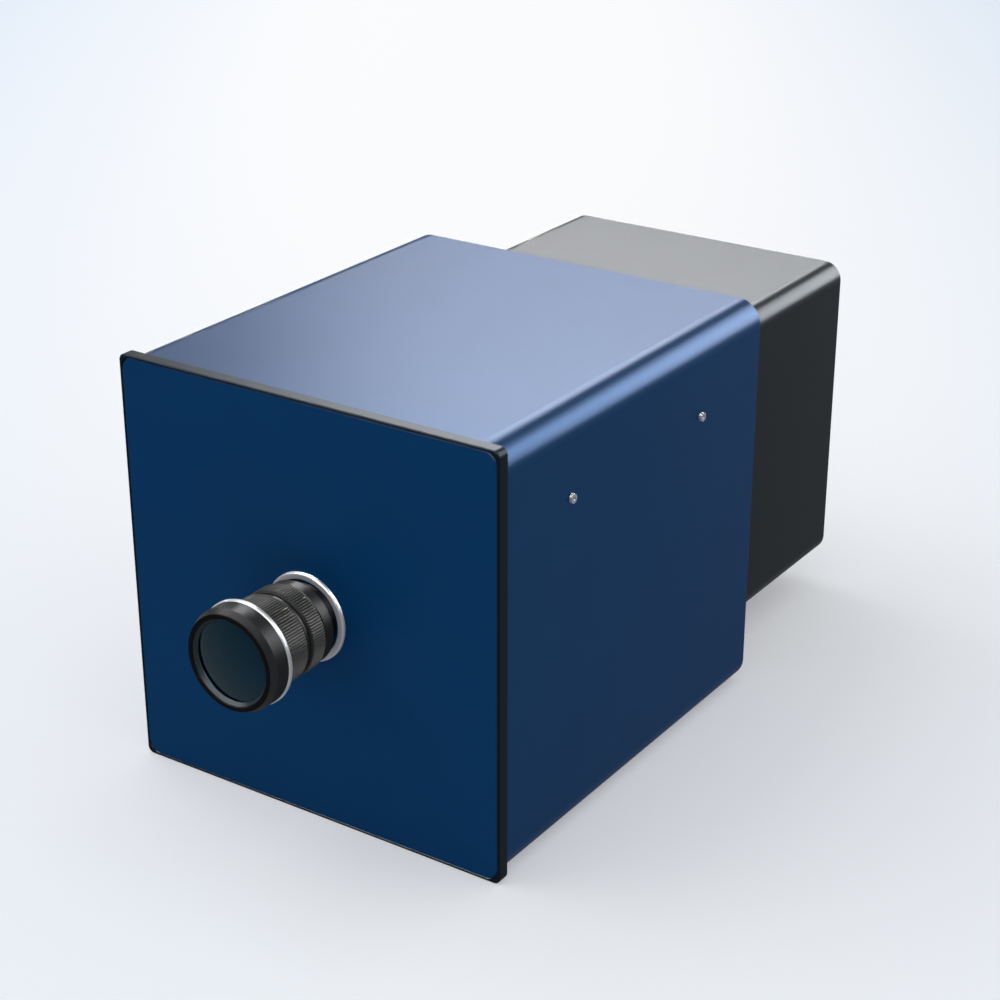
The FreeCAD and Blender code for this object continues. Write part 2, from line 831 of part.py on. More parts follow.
def fan_rotor():
    """Hub on the axle with blades lofted from a steep root to a flatter tip."""
    hub_radius = D.fan_hub.value
    hub_depth = D.fan_hub_depth.value
    chord = D.fan_blade_chord.value
    thick = D.fan_blade_thick.value
    hub = Part.makeCylinder(hub_radius, hub_depth, Vector(), Vector(0, 1, 0))
    bore_radius = D.fan_axle.value + D.running_gap.value
    bore_depth = hub_depth - D.fan_cap.value + D.seat_gap.value
    bore = Part.makeCylinder(bore_radius, bore_depth, Vector(), Vector(0, 1, 0))
    rotor = hub.cut(bore)

    def section(radius, pitch):
        half_chord = chord / 2
        half_thick = thick / 2
        corners = [(-half_chord, -half_thick), (half_chord, -half_thick), (half_chord, half_thick),
                   (-half_chord, half_thick)]
        wire = Part.makePolygon([Vector(radius, y, z) for y, z in corners + corners[:1]])
        wire.rotate(Vector(), Vector(1, 0, 0), 90 - pitch)
        wire.translate(Vector(0, hub_depth / 2, 0))
        return wire

    root = section(hub_radius - 1.0, D.fan_root_pitch.value)
    tip = section(D.fan_tip.value, D.fan_tip_pitch.value)
    blade = Part.makeLoft([root, tip], True)
    envelope = Part.makeCylinder(D.fan_tip.value, hub_depth, Vector(), Vector(0, 1, 0))
    blade = blade.common(envelope)
    for index in range(FAN_BLADES):
        turned_blade = blade.copy()
        turned_blade.rotate(Vector(), Vector(0, 1, 0), 360 / FAN_BLADES * index)
        rotor = rotor.fuse(turned_blade)
    item = doc.addObject("Part::Feature", "fan_rotor")
    item.Shape = rotor.cut(bore).removeSplitter()
    place(item, (0, deep(ROTOR_FRONT), FAN_HEIGHT))
    return item


def fan_guard():
    """A stamped grille: ring slots between a hub plate and the rim, crossed by two diagonal arms."""
    plate = slab("guard_plate", D.fan_side, D.fan_side, D.guard_thick, (0, deep(BACK_FACE), FAN_HEIGHT),
                 D.fan_corner)
    start = (0, deep(BACK_FACE - D.overrun), FAN_HEIGHT)
    through = D.guard_thick + 2 * D.overrun
    rings = []
    for index in range(4):
        inner = D.guard_hub + index * (D.guard_ring + D.guard_slot)
        outer_rod = rod(f"guard_slot_outer_{index}", inner + D.guard_slot, through, start, "y")
        inner_rod = rod(f"guard_slot_inner_{index}", inner, through, start, "y")
        rings.append(less(f"guard_slot_{index}", outer_rod, [inner_rod]))
    arms = []
    for index, angle in enumerate((45, 135)):
        arm = doc.addObject("Part::Box", f"guard_arm_{index}")
        bind(arm, Length=D.fan_side, Width=through, Height=D.guard_slot)
        half = D.fan_side.value / 2
        middle = Vector(half, 0, D.guard_slot.value / 2)
        turn = Rotation(Vector(0, 1, 0), angle)
        offset = turn.multVec(middle)
        place(arm, (-offset.x, start[1], FAN_HEIGHT - offset.z), turn)
        arms.append(arm)
    slots = less("guard_slots", fused("guard_rings", rings), arms)
    holes = drilled("guard_hole", D.clear_hole, through,
                    four_spots(D.fan_hole_offset, BACK_FACE - D.overrun, D.fan_rise), "y")
    return less("fan_guard", plate, [slots] + holes)


def fan_screws():
    seats = four_spots(D.fan_hole_offset, BACK_FACE + D.guard_thick, D.fan_rise)
    return screw_set("fan_screws", D.cap_head, D.cap_height, D.cap_key, D.shank_radius,
                     D.fan_depth, seats, "y")


# Sockets, button and lamp

def panel_socket(name, x, pins):
    """A round socket: flange on the panel, threaded collar, contact face with pin holes, tail inside."""
    base = (x, deep(BACK_FACE), ROW_HEIGHT)
    collar = [
        (D.socket_insert, -1 * D.socket_tail),
        (D.socket_thread, -1 * D.socket_tail),
        (D.socket_thread, -1 * D.overrun / 2),
        (D.socket_thread, D.seat_gap / 4),
        (D.socket_flange, D.seat_gap / 4),
        (D.socket_flange, D.socket_flange_thick),
        (D.socket_thread, D.socket_flange_thick),
        (D.socket_thread, D.socket_reach - D.lens_edge),
        (D.socket_thread - D.lens_edge, D.socket_reach),
        (D.socket_insert, D.socket_reach),
    ]
    shell = turned(f"{name}_shell", collar, base, "back")
    tail_start = (x, deep(BACK_FACE - D.socket_tail), ROW_HEIGHT)
    insert_length = D.socket_tail + D.socket_reach - D.overrun
    insert = rod(f"{name}_insert", D.socket_insert + D.press_gap, insert_length, tail_start, "y")
    holes = []
    face = deep(BACK_FACE + D.socket_reach - 4 * D.overrun)
    for index in range(pins):
        angle = 2 * math.pi * (index + 0.5) / pins
        spot = (as_size(x) + math.cos(angle) * D.socket_pin_circle, face,
                ROW_HEIGHT + math.sin(angle) * D.socket_pin_circle)
        holes.append(rod(f"{name}_pin_{index}", D.socket_pin, 4 * D.overrun, spot, "y"))
    return less(name, fused(f"{name}_blank", [shell, insert]), holes)


def sockets():
    names_and_pins = (("power_socket", 4), ("data_socket", 8), ("trigger_socket", 5))
    return [panel_socket(name, x, pins) for (name, pins), x in zip(names_and_pins, socket_spots())]


def switch_bezel():
    points = [
        (D.bezel_bore, -1 * D.bezel_tail),
        (D.bezel_thread, -1 * D.bezel_tail),
        (D.bezel_thread, D.seat_gap / 4),
        (D.bezel_radius, D.seat_gap / 4),
        (D.bezel_radius, D.bezel_reach / 2),
        (D.bezel_radius - D.bezel_reach / 2, D.bezel_reach),
        (D.bezel_bore, D.bezel_reach),
    ]
    shell = turned("bezel_shell", points, (BUTTON_X, deep(BACK_FACE), ROW_HEIGHT), "back")
    bottom = rod("bezel_bottom", D.bezel_bore + D.press_gap, 2 * D.overrun,
                 (BUTTON_X, deep(BACK_FACE - D.bezel_tail), ROW_HEIGHT), "y")
    return fused("switch_bezel", [shell, bottom])


def power_button():
    top = BACK_FACE + D.bezel_reach + D.button_proud
    length = D.button_depth + D.button_proud
    cap = rod("button_cap", D.bezel_bore - D.button_gap, length,
              (BUTTON_X, deep(top - length), ROW_HEIGHT), "y")
    dish = doc.addObject("Part::Sphere", "button_dish")
    curve = 6 * D.bezel_bore
    bind(dish, Radius=curve)
    place(dish, (BUTTON_X, deep(top + curve - D.lens_edge), ROW_HEIGHT))
    return less("power_button", cap, [dish])


def status_lamp():
    points = [
        (D.lamp_radius / 2, -4 * D.overrun),
        (D.lamp_radius, -4 * D.overrun),
        (D.lamp_radius, D.seat_gap / 4),
        (D.lamp_bezel, D.seat_gap / 4),
        (D.lamp_bezel, D.overrun / 2),
        (D.lamp_bezel - D.lens_edge, D.overrun),
        (D.lamp_radius / 2, D.overrun),
    ]
    base = (LAMP_X, deep(BACK_FACE), ROW_HEIGHT)
    shell = turned("lamp_shell", points, base, "back")
    core = rod("lamp_core", D.lamp_radius / 2 + D.press_gap, 5 * D.overrun,
               (LAMP_X, deep(BACK_FACE - 4 * D.overrun), ROW_HEIGHT), "y")
    dome = doc.addObject("Part::Sphere", "lamp_dome")
    bind(dome, Radius=D.lamp_radius)
    place(dome, (LAMP_X, deep(BACK_FACE), ROW_HEIGHT))
    return fused("status_lamp", [shell, core, dome])


# Power board in the rear housing

POWER_BOTTOM = REAR_FLOOR + D.standoff


def power_board():
    low = (-1 * D.power_half_width, deep(D.power_front), POWER_BOTTOM)
    high = (D.power_half_width, deep(D.power_back), POWER_BOTTOM + D.board_thick)
    converter = (0.3, 0.35, 12.0, 14.0)
    coils = [(0.65, 0.3, 6.0, 9.0), (0.65, 0.6, 6.0, 9.0)]
    capacitors = [(0.85, 0.25, 4.0, 11.0), (0.85, 0.45, 4.0, 11.0), (0.85, 0.65, 4.0, 11.0)]
    return populated_board("power_board", low, high, [converter] + coils + capacitors)


def board_standoffs():
    inset = 2 * D.standoff_radius
    spots = []
    for side in SIDES:
        for depth in (D.power_front + inset, D.power_back - inset):
            spots.append((side * (D.power_half_width - inset), deep(depth), REAR_FLOOR))
    return grouped("board_standoffs", drilled("standoff", D.standoff_radius, D.standoff, spots, "z"))


# Base plate with the tripod thread and bolt holes

PLATE_TOP = HOUSING_FLOOR + D.base_thick


def base_plate():
    plate = block("bench_plate", (-1 * D.base_half_width, deep(D.base_front), HOUSING_FLOOR),
                  (D.base_half_width, deep(D.base_back), PLATE_TOP))
    pad = block("bench_pad", (-1 * D.pad_half_width, deep(D.pad_front), 0),
                (D.pad_half_width, deep(D.pad_back), HOUSING_FLOOR))
    start = -1 * D.overrun
    depth = D.thread_depth + D.overrun
    half_across = D.bolt_spacing_across / 2
    half_along = D.bolt_spacing_along / 2
    spots = [(side * half_across, way * half_along, start) for side, way in CORNERS]
    holes = drilled("bolt_hole", D.bolt_tap, depth, spots, "z")
    tripod = rod("tripod_hole", D.tripod_tap, depth, (0, 0, start), "z")
    return less("base_plate", fused("bench_blank", [plate, pad]), holes + [tripod])


# Scanning stage

SLIDE_HEIGHT = PLATE_TOP + D.slide_rise
SLIDE_DEPTHS = (D.slide_front, D.slide_back)
SUPPORT_OUTER = D.support_inner + D.support_thick
CARRIAGE_BOTTOM = SLIDE_HEIGHT + D.carriage_clear
CARRIAGE_TOP = CARRIAGE_BOTTOM + D.carriage_thick


def rail_supports():
    supports = []
    for side, word in zip(SIDES, ("left", "right")):
        near = D.support_inner if side > 0 else -1 * SUPPORT_OUTER
        wall = block(f"support_wall_{word}", (near, deep(D.support_front), PLATE_TOP),
                     (near + D.support_thick, deep(D.support_back), PLATE_TOP + D.support_height))
        through = D.support_thick + 2 * D.overrun
        starts = [(near - D.overrun, deep(depth), SLIDE_HEIGHT) for depth in SLIDE_DEPTHS]
        holes = drilled(f"support_hole_{word}", D.slide_radius + D.press_gap, through, starts, "x")
        bearing = rod(f"support_bearing_{word}", D.screw_radius + D.running_gap, through,
                      (near - D.overrun, deep(D.screw_depth), SLIDE_HEIGHT), "x")
        supports.append(less(f"rail_support_{word}", wall, holes + [bearing]))
    return grouped("rail_supports", supports)


def guide_rails():
    starts = [(-1 * SUPPORT_OUTER, deep(depth), SLIDE_HEIGHT) for depth in SLIDE_DEPTHS]
    return grouped("guide_rails", drilled("guide_rail", D.slide_radius, 2 * SUPPORT_OUTER, starts, "x"))


def lead_screw():
    length = 2 * SUPPORT_OUTER + D.motor_length / 2
    start = (-1 * SUPPORT_OUTER, deep(D.screw_depth), SLIDE_HEIGHT)
    return rod("lead_screw", D.screw_radius, length, start, "x")


def scan_motor():
    can = slab("motor_can", D.motor_side, D.motor_side, D.motor_length,
               (SUPPORT_OUTER, deep(D.screw_depth), SLIDE_HEIGHT), D.motor_corner, along="x")
    bore = rod("motor_bore", D.screw_radius + D.running_gap, D.motor_length / 2 + D.overrun + D.seat_gap,
               (SUPPORT_OUTER - D.overrun, deep(D.screw_depth), SLIDE_HEIGHT), "x")
    return less("scan_motor", can, [bore])


def scan_carriage():
    half = D.carriage_half_width
    table = block("carriage_table", (-1 * half, deep(D.carriage_front), CARRIAGE_BOTTOM),
                  (half, deep(D.carriage_back), CARRIAGE_TOP))
    bearings = []
    for row, depth in enumerate(SLIDE_DEPTHS, start=1):
        for side, word in zip(SIDES, ("left", "right")):
            near = half - D.bearing_length if side > 0 else -1 * half
            bearings.append(block(f"bearing_{word}_{row}",
                                  (near, deep(depth - D.bearing_half), SLIDE_HEIGHT - D.bearing_half),
                                  (near + D.bearing_length, deep(depth + D.bearing_half), CARRIAGE_BOTTOM)))
    starts = [(-1 * half - D.overrun, deep(depth), SLIDE_HEIGHT) for depth in SLIDE_DEPTHS]
    bores = drilled("bearing_bore", D.slide_radius + D.running_gap, 2 * half + 2 * D.overrun, starts, "x")
    return less("scan_carriage", fused("carriage_blank", [table] + bearings), bores)


def drive_nut():
    half = D.nut_half
    nut = block("nut_block", (-1 * half, deep(D.screw_depth - half), SLIDE_HEIGHT - half),
                (half, deep(D.screw_depth + half), CARRIAGE_BOTTOM))
    bore = rod("nut_bore", D.screw_radius + D.running_gap, 2 * half + 2 * D.overrun,
               (-1 * half - D.overrun, deep(D.screw_depth), SLIDE_HEIGHT), "x")
    return less("drive_nut", nut, [bore])


# Spectrograph and detector

SPECTRO_BOTTOM = D.axis_height - D.spectro_side / 2
GLASS_RADIUS = D.spectro_bore - D.press_gap


def spectrograph_body():
    case = slab("spectro_case", D.spectro_side, D.spectro_side, D.spectro_back - D.spectro_front,
                on_axis(D.spectro_front), D.spectro_corner)
    half = D.spectro_side / 2
    riser = block("spectro_riser", (-1 * half, deep(D.carriage_front), CARRIAGE_TOP),
                  (half, deep(D.spectro_back), SPECTRO_BOTTOM + D.overrun))
    bore = rod("spectro_tunnel", D.spectro_bore, D.spectro_back, on_axis(D.spectro_front - D.overrun), "y")
    return less("spectrograph_body", fused("spectro_blank", [case, riser]), [bore])


def slit_holder():
    nose = -1 * D.slit_nose
    plate_back = nose - 2 * D.overrun
    points = [
        (D.slit_cell, nose),
        (D.slit_nose_radius, nose),
        (D.slit_nose_radius, -1 * D.slit_flange_depth),
        (D.slit_flange, -1 * D.slit_flange_depth),
        (D.slit_flange, -1 * D.spectro_front),
        (D.slit_cell - D.overrun, -1 * D.spectro_front),
        (D.slit_cell - D.overrun, plate_back),
        (D.slit_cell, plate_back),
    ]
    return turned("slit_holder", points, on_axis(0), "front")


def slit_plate():
    start = D.slit_nose + 2 * D.overrun - D.slit_plate_thick
    disc = rod("slit_disc", D.slit_cell - D.glass_gap, D.slit_plate_thick, on_axis(start), "y")
    half_length = D.slit_length / 2
    half_width = D.slit_width / 2
    slot = block("slit_slot", (-1 * half_width, deep(start - D.overrun), D.axis_height - half_length),
                 (half_width, deep(start + 2 * D.overrun), D.axis_height + half_length))
    return less("slit_plate", disc, [slot])


def curved_glass(name, radius, depth, thick, front_curve, back_curve=None):
    """A lens: a rod of glass shared with one or two spheres whose crowns touch its ends."""
    pieces = [rod(f"{name}_rod", radius, thick, on_axis(depth), "y")]
    crowns = [(front_curve, as_size(depth) + front_curve)]
    if back_curve is not None:
        crowns.append((back_curve, as_size(depth) + thick - back_curve))
    for index, (curve, centre) in enumerate(crowns, start=1):
        ball = doc.addObject("Part::Sphere", f"{name}_curve_{index}")
        bind(ball, Radius=curve)
        place(ball, on_axis(centre))
        pieces.append(ball)
    return shared(name, pieces)


def grating_prism():
    """A transmission grating between two prisms: one glass block with both end faces tilted."""
    drum = rod("prism_drum", GLASS_RADIUS, D.grating_thick, on_axis(D.grating_depth), "y")
    slant = doc.addObject("Part::Box", "prism_slant")
    width = D.grating_thick - 6 * D.overrun
    height = 4 * D.spectro_bore
    bind(slant, Length=3 * D.spectro_bore, Width=width, Height=height)
    turn = Rotation(Vector(1, 0, 0), D.grating_tilt.value)
    middle = turn.multVec(Vector(0, width.value / 2, height.value / 2))
    centre = deep(D.grating_depth + D.grating_thick / 2)
    place(slant, (-1.5 * D.spectro_bore, centre - middle.y, D.axis_height - middle.z), turn)
    return shared("grating_prism", [drum, slant])


def detector_head():
    case = slab("detector_case", D.detector_side, D.detector_side, D.detector_back - D.spectro_back,
                on_axis(D.spectro_back), D.spectro_corner)
    well = slab("detector_hollow", D.detector_well, D.detector_well, D.detector_well_depth + D.overrun,
                on_axis(D.spectro_back - D.overrun), D.spectro_corner)
    return less("detector_head", case, [well])


def image_sensor():
    """A sensor package with a stepped window pane on its face."""
    front = D.spectro_back + D.detector_well_depth - D.sensor_thick
    package = slab("sensor_package", D.sensor_side, D.sensor_side, D.sensor_thick, on_axis(front), D.overrun)
    pane = slab("sensor_face", D.sensor_pane, D.sensor_pane, D.overrun, on_axis(front - D.overrun), D.overrun)
    return fused("image_sensor", [package, pane])


def detector_heatsink():
    half = D.detector_side / 2
    base_back = D.detector_back + D.sink_base
    pieces = [
        block("sink_plate", (-1 * half, deep(D.detector_back), D.axis_height - half),
              (half, deep(base_back), D.axis_height + half))
    ]
    steps = range(-4, 5)
    pitch = (D.detector_side - D.fin_thick) / (len(steps) - 1)
    for step in steps:
        left = step * pitch - D.fin_thick / 2
        pieces.append(block(f"sink_fin_{step + len(steps)}", (left, deep(base_back), D.axis_height - half),
                            (left + D.fin_thick, deep(base_back + D.sink_fin), D.axis_height + half)))
    return fused("detector_heatsink", pieces)


# Lens mount and fixed barrel

def lens_mount():
    plate = slab("mount_plate", D.mount_side, D.mount_side, D.mount_thick, on_axis(D.frame_depth),
                 D.housing_corner)
    length = D.boss_reach + D.frame_depth + D.mount_thick
    boss = rod("mount_boss", D.boss_radius, length, on_axis(-1 * D.boss_reach), "y")
    bore = rod("mount_bore", D.boss_bore, length + 2 * D.overrun, on_axis(-1 * D.boss_reach - D.overrun), "y")
    return less("lens_mount", fused("mount_blank", [plate, boss]), [bore])


def blade_angles():
    return [360 / IRIS_BLADES * index for index in range(IRIS_BLADES)]


def pivot_spot(angle, reach):
    """Where a blade's pivot stands: radius blade_pivot at an angle from +X towards +Z."""
    turn = math.radians(angle)
    return (math.cos(turn) * D.blade_pivot, ahead(reach), D.axis_height + math.sin(turn) * D.blade_pivot)


def sector(name, radius, length, reach, span, first_angle):
    """A wedge of a disc about the optical axis: it opens from an angle, counted from +X towards +Z."""
    span = as_size(span)
    item = doc.addObject("Part::Cylinder", name)
    bind(item, Radius=radius, Height=length, Angle=span)
    turn = Rotation(Vector(0, 1, 0), -(first_angle + span.value)).multiply(TURNS["y"])
    place(item, (0, ahead(reach), D.axis_height), turn)
    return item


def lens_barrel():
    points = [
        (D.rear_bore, D.spigot_reach),
        (D.spigot_radius, D.spigot_reach),
        (D.spigot_radius, D.boss_reach),
        (D.band_radius - D.lens_edge, D.boss_reach),
        (D.band_radius, D.boss_reach + D.lens_edge),
        (D.band_radius, D.band_end - D.lens_edge),
        (D.band_radius - D.lens_edge, D.band_end),
        (D.tube_radius, D.band_end),
        (D.tube_radius, D.tube_end),
        (D.tube_bore, D.tube_end),
        (D.tube_bore, D.stop_end),
        (D.stop_radius, D.stop_end),
        (D.stop_radius, D.stop_start),
        (D.rear_bore, D.stop_start),
    ]
    blank = turned("barrel_blank", points, on_axis(0), "front")
    pivot_holes = [
        rod(f"pivot_hole_{index}", D.blade_pin + D.running_gap, D.stop_end - D.stop_start + 2 * D.overrun,
            pivot_spot(angle, D.stop_end + D.overrun), "y")
        for index, angle in enumerate(blade_angles(), start=1)
    ]
    slot = sector("cam_slot", D.ring_bore, D.cam_slot_end - D.cam_slot_start, D.cam_slot_end,
                  D.cam_slot_angle, -D.cam_slot_margin.value)
    return less("lens_barrel", blank, pivot_holes + [slot])


# Rings

def knurl_wheel(name, start, end):
    """A wheel of straight knurl teeth with flat tops, as long as its ring."""
    tip = D.ring_radius.value
    root = tip - D.knurl_depth.value
    step = 2 * math.pi / KNURL_TEETH
    corners = []
    for tooth in range(KNURL_TEETH):
        for fraction, radius in ((0.0, root), (0.3, tip), (0.6, tip), (0.9, root)):
            angle = (tooth + fraction) * step
            corners.append(Vector(radius * math.cos(angle), 0, radius * math.sin(angle)))
    face = Part.Face(Part.makePolygon(corners + corners[:1]))
    item = doc.addObject("Part::Feature", name)
    item.Shape = face.extrude(Vector(0, (end - start).value, 0))
    place(item, (0, ahead(end), D.axis_height))
    return item


def knurled_ring(name, start, end):
    edge = D.ring_edge
    points = [
        (D.ring_bore, start),
        (D.ring_radius - 2 * edge, start),
        (D.ring_radius, start + 2 * edge),
        (D.ring_radius, end - 2 * edge),
        (D.ring_radius - 2 * edge, end),
        (D.ring_bore, end),
    ]
    blank = turned(f"{name}_blank", points, on_axis(0), "front")
    return shared(name, [blank, knurl_wheel(f"{name}_knurl", start, end)])


CAM_MIDDLE = (D.cam_start + D.cam_end) / 2
CAM_PIN_END = D.ring_bore + D.cam_pin


def iris_ring():
    """The knurled iris ring, with a blind hole in its bore for the cam ring's pin."""
    ring = knurled_ring("iris_wheel", D.iris_start, D.iris_end)
    hole = rod("iris_pin_hole", D.cam_pin + D.press_gap, CAM_PIN_END - D.cam_outer + D.seat_gap,
               (D.cam_outer, ahead(CAM_MIDDLE), D.axis_height), "x")
    return less("iris_ring", ring, [hole])


def focus_ring():
    return knurled_ring("focus_ring", D.focus_start, D.focus_end)


def index_collar():
    """A smooth collar between the rings with an index notch on top."""
    edge = D.lens_edge
    points = [
        (D.tube_radius + D.press_gap, D.collar_start),
        (D.collar_radius - edge, D.collar_start),
        (D.collar_radius, D.collar_start + edge),
        (D.collar_radius, D.collar_end - edge),
        (D.collar_radius - edge, D.collar_end),
        (D.tube_radius + D.press_gap, D.collar_end),
    ]
    blank = turned("collar_blank", points, on_axis(0), "front")
    half = D.collar_mark / 2
    top = D.axis_height + D.collar_radius
    notch = block("index_notch", (-1 * half, ahead(D.collar_end + D.overrun), top - half),
                  (half, ahead(D.collar_start - D.overrun), top + D.overrun))
    return less("index_collar", blank, [notch])


# Iris

def iris_cam_ring():
    """A thin ring inside the barrel with a pin that reaches the iris ring through the barrel's slot."""
    points = [
        (D.cam_inner, D.cam_start),
        (D.cam_outer, D.cam_start),
        (D.cam_outer, D.cam_end),
        (D.cam_inner, D.cam_end),
    ]
    hoop = turned("cam_hoop", points, on_axis(0), "front")
    start = (D.cam_inner + D.cam_outer) / 2
    pin = rod("cam_pin_rod", D.cam_pin, CAM_PIN_END - start, (start, ahead(CAM_MIDDLE), D.axis_height), "x")
    return fused("iris_cam_ring", [hoop, pin])


def iris_blade(number, angle):
    """A crescent blade on its own level, with the pivot pin that it swings on."""
    front = D.stop_end + (number - 0.5) * D.blade_level + D.blade_thick
    span = D.blade_span + D.blade_heel
    first_angle = angle - D.blade_heel.value
    leaf = sector(f"blade_leaf_{number}", D.blade_outer, D.blade_thick, front, span, first_angle)
    core = rod(f"blade_core_{number}", D.blade_inner, D.blade_thick, (0, ahead(front), D.axis_height), "y")
    crescent = less(f"blade_crescent_{number}", leaf, [core])
    pin_length = front - D.stop_start - D.glass_gap
    pin = rod(f"blade_pin_{number}", D.blade_pin, pin_length, pivot_spot(angle, front), "y")
    return fused(f"iris_blade_{number}", [crescent, pin])


# Sliding front barrel and its glass

def front_barrel():
    points = [
        (D.tail_bore, D.tail_start),
        (D.tail_radius, D.tail_start),
        (D.tail_radius, D.shoulder_start),
        (D.shoulder_radius, D.shoulder_start),
        (D.shoulder_radius, D.accent_end),
        (D.nose_radius, D.accent_end),
        (D.nose_radius, D.nose_bevel_start),
        (D.nose_face, D.nose_end),
        (D.retainer_radius + D.running_gap, D.nose_end),
        (D.retainer_radius + D.running_gap, D.glass_end),
        (D.glass_radius + D.running_gap, D.glass_end),
        (D.glass_radius + D.running_gap, D.glass_seat),
        (D.cone_radius, D.glass_seat),
        (D.tail_bore, D.cone_start),
    ]
    return turned("front_barrel", points, on_axis(0), "front")


def accent_ring():
    edge = D.lens_edge
    points = [
        (D.shoulder_radius + D.running_gap, D.accent_start),
        (D.accent_radius - edge, D.accent_start),
        (D.accent_radius, D.accent_start + edge),
        (D.accent_radius, D.accent_end - edge),
        (D.accent_radius - edge, D.accent_end),
        (D.shoulder_radius + D.running_gap, D.accent_end),
    ]
    return turned("accent_ring", points, on_axis(0), "front")


def front_retainer():
    points = [
        (D.retainer_inner, D.glass_end),
        (D.retainer_radius, D.glass_end),
        (D.retainer_radius, D.retainer_end),
        (D.retainer_radius - D.retainer_lip, D.retainer_end),
        (D.retainer_inner, D.glass_end + D.retainer_lip),
    ]
    return turned("front_retainer", points, on_axis(0), "front")


def front_element():
    apex = D.glass_end + D.glass_crown
    return curved_glass("front_element", D.glass_radius, -1 * apex, apex - D.glass_seat, D.glass_curve)


def rear_element():
    thick = D.rear_glass_end - D.rear_glass_start
    return curved_glass("rear_element", D.rear_bore - D.press_gap, -1 * D.rear_glass_end, thick,
                        D.rear_glass_curve, D.rear_glass_curve)


def build():
    """Makes every sub-part and returns them in order."""
    parts = [front_frame(), front_panel(), lens_trim_ring(), front_screws()]
    parts += [main_housing(), bulkhead(), tie_rods(), bulkhead_screws()]
    parts += [side_rails(), side_screws(), controller_board()]
    parts += [rear_housing(), rear_tie_rods(), rear_panel(), rear_panel_screws()]
    parts += [fan_frame(), fan_rotor(), fan_guard(), fan_screws()]
    parts += sockets() + [switch_bezel(), power_button(), status_lamp()]
    parts += [power_board(), board_standoffs()]
    parts += [base_plate(), rail_supports(), guide_rails(), lead_screw(), scan_motor()]
    parts += [scan_carriage(), drive_nut(), spectrograph_body(), slit_holder(), slit_plate()]
    parts += [curved_glass("collimator_lens", GLASS_RADIUS, D.collimator_depth, D.collimator_thick,
                           D.collimator_curve, D.collimator_curve)]
    parts += [grating_prism()]
    parts += [curved_glass("imaging_lens", GLASS_RADIUS, D.imager_depth, D.imager_thick,
                           D.imager_curve, D.imager_curve)]
    parts += [detector_head(), image_sensor(), detector_heatsink()]
    parts += [lens_mount(), lens_barrel(), iris_ring(), index_collar(), focus_ring(), iris_cam_ring()]
    parts += [iris_blade(number, angle) for number, angle in enumerate(blade_angles(), start=1)]
    parts += [front_barrel(), accent_ring(), front_retainer(), front_element(), rear_element()]
    return parts


def check(parts):
    """Stops before anything is written if an object failed or a sub-part is not a sound solid."""
    failed = [item.Label for item in doc.Objects if {"Invalid", "Error"} & set(item.State)]
    unsound = [item.Label for item in parts if item.Shape.isNull() or not item.Shape.isValid()]
    unsound += [item.Label for item in parts if not item.Shape.Solids]
    if failed or unsound:
        raise RuntimeError(f"failed: {failed}; unsound: {unsound}")


def write(parts):
    os.makedirs("parts", exist_ok=True)
    for item in parts:
        item.Shape.exportStep(f"parts/{item.Label}.step")
        print(item.Label, len(item.Shape.Solids), "solids", round(item.Shape.Volume), "mm3")


sub_parts = build()
doc.recompute()
check(sub_parts)
write(sub_parts)
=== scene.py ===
import math

import bmesh
import bpy
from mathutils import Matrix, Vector


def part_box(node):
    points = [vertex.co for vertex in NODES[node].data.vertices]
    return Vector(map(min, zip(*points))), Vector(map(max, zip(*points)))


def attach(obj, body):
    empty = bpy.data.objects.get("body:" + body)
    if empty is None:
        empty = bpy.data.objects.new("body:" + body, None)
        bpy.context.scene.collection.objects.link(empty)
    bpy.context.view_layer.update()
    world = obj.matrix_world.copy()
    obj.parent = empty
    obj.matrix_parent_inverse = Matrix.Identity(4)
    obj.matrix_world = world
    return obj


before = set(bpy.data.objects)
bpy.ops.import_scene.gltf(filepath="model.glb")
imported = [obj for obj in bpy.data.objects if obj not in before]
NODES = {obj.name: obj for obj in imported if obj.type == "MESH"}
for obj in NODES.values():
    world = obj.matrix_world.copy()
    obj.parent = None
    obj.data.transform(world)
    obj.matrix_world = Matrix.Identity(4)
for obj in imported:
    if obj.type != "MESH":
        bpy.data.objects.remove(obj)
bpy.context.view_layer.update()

# Places on the CAD solids that finishes and threads follow; a reach is a distance forwards from the origin

MM = 0.001
LENS_HEIGHT = 90 * MM
BARREL_BORE_RADIUS = 15.3 * MM
GLASS_SEAT_RADIUS = 17.6 * MM
GLASS_SEAT_REACH = 147 * MM
GLASS_RIM_REACH = 154.35 * MM
NOSE_REACH = 156.1 * MM
KNURL_MIDDLE_RADIUS = 17.95 * MM
SOCKET_HEIGHT = 42 * MM
SOCKET_PITCH = 27 * MM
SOCKET_RADIUS = 6.0 * MM
INSERT_RADIUS = 4.6 * MM
CONTACT_DEPTH = 204.8 * MM
BOARD_THICK = 1.6 * MM
TRIPOD_HOLE_RADIUS = 3.97 * MM
TRIPOD_PITCH = 25.4 / 16 * MM


# Shader building


